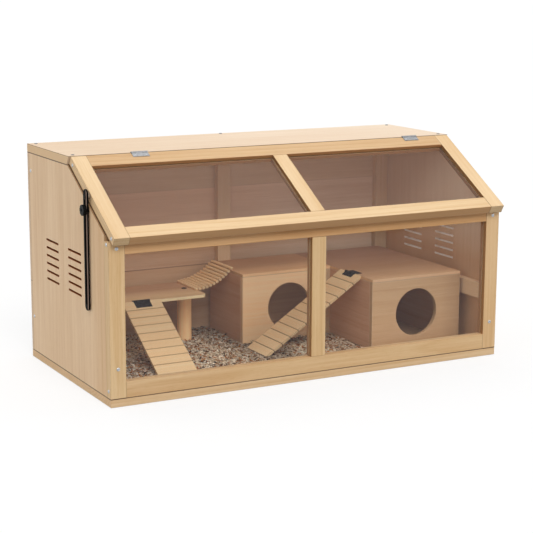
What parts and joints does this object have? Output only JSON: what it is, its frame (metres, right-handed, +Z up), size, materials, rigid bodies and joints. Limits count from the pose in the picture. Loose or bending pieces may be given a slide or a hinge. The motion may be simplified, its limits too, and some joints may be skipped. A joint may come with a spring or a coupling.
{
  "type": "hamster cage",
  "caption": "Long wooden small-animal cage with a sloped window lid on a slotted stay, vented sides, and an inside platform, dowel bridge, hinged ramps and a two-room den.",
  "frame": {"origin": "middle of the base board's underside", "axes": "+X along the length to the right as seen from the windows, +Y to the back boards, +Z up"},
  "size_m": [1.0162, 0.5198, 0.516],
  "materials": {
    "frame_wood": "satin pale timber",
    "panel_wood": "satin pale panel with an upright grain",
    "roof_wood": "satin pale board",
    "lid_wood": "satin pale timber",
    "inner_wood": "matt pale timber",
    "clear_acrylic": "clear, slightly tinted",
    "zinc_steel": "zinc plated",
    "black_steel": "black powder coat",
    "black_plastic": "moulded black",
    "cord": "twisted natural cord",
    "litter_chips": "loose pale and brown wood chips"
  },
  "bodies": {
    "cage": {"base_board": "frame_wood", "left_side_panel": "panel_wood", "right_side_panel": "panel_wood", "back_board_lower": "panel_wood", "back_board_middle": "panel_wood", "back_board_upper": "panel_wood", "back_center_batten": "frame_wood", "back_left_post": "frame_wood", "back_right_post": "frame_wood", "front_left_post": "frame_wood", "front_right_post": "frame_wood", "front_top_rail": "frame_wood", "front_bottom_rail": "frame_wood", "front_mullion": "frame_wood", "front_left_pane": "clear_acrylic", "front_right_pane": "clear_acrylic", "roof_panel": "roof_wood", "left_side_rail": "frame_wood", "right_side_rail": "frame_wood", "platform": "inner_wood", "platform_leg": "inner_wood", "leg_screw": "black_steel", "den_roof": "inner_wood", "den_left_front": "inner_wood", "den_right_front": "inner_wood", "den_left_wall": "inner_wood", "den_middle_wall": "inner_wood", "den_right_wall": "inner_wood", "bridge_left_cleat": "inner_wood", "bridge_right_cleat": "inner_wood", "bridge_dowels": "inner_wood", "bridge_cords": "cord", "litter": "litter_chips", "left_hinge_roof_leaf": "zinc_steel", "right_hinge_roof_leaf": "zinc_steel", "left_ramp_fixed_leaf": "black_steel", "right_ramp_fixed_leaf": "black_steel", "stay_stud": "zinc_steel", "front_screws": "zinc_steel", "left_side_screws": "zinc_steel", "right_side_screws": "zinc_steel", "roof_screws": "zinc_steel"},
    "lid": {"lid_left_stile": "lid_wood", "lid_right_stile": "lid_wood", "lid_top_rail": "lid_wood", "lid_bottom_rail": "lid_wood", "lid_mullion": "lid_wood", "lid_left_pane": "clear_acrylic", "lid_right_pane": "clear_acrylic", "left_hinge_lid_leaf": "zinc_steel", "right_hinge_lid_leaf": "zinc_steel", "lid_screws": "zinc_steel", "stay_pivot": "black_steel"},
    "stay": {"stay_bar": "black_steel", "stay_rivet": "black_steel"},
    "knob": {"stay_knob": "black_plastic"},
    "left_ramp": {"left_ramp": "inner_wood", "left_ramp_leaf": "black_steel"},
    "right_ramp": {"right_ramp": "inner_wood", "right_ramp_leaf": "black_steel"}
  },
  "joints": [
    {"name": "lid_hinge", "type": "hinge", "parent": "cage", "child": "lid", "pos_m": [0, -0.026, 0.513], "axis": [-1, 0, 0], "range_deg": [0, 68]},
    {"name": "stay_slide", "type": "slide", "parent": "cage", "child": "stay", "axis": [0, 0, 1], "range_m": [0, 0.147]},
    {"name": "knob_turn", "type": "hinge", "parent": "cage", "child": "knob", "pos_m": [-0.5104, -0.135, 0.41048], "axis": [-1, 0, 0], "range_deg": [0, 180]},
    {"name": "left_ramp_hinge", "type": "hinge", "parent": "cage", "child": "left_ramp", "pos_m": [-0.298, 0.0517, 0.1535], "axis": [-1, 0, 0], "range_deg": [0, 60]},
    {"name": "right_ramp_hinge", "type": "hinge", "parent": "cage", "child": "right_ramp", "pos_m": [0.2007, -0.061, 0.1965], "axis": [0, 1, 0], "range_deg": [0, 60]}
  ],
  "couplings": [
    {"joint": "stay_slide", "follows": "lid_hinge", "m_per_rad": 0.1239}
  ]
}
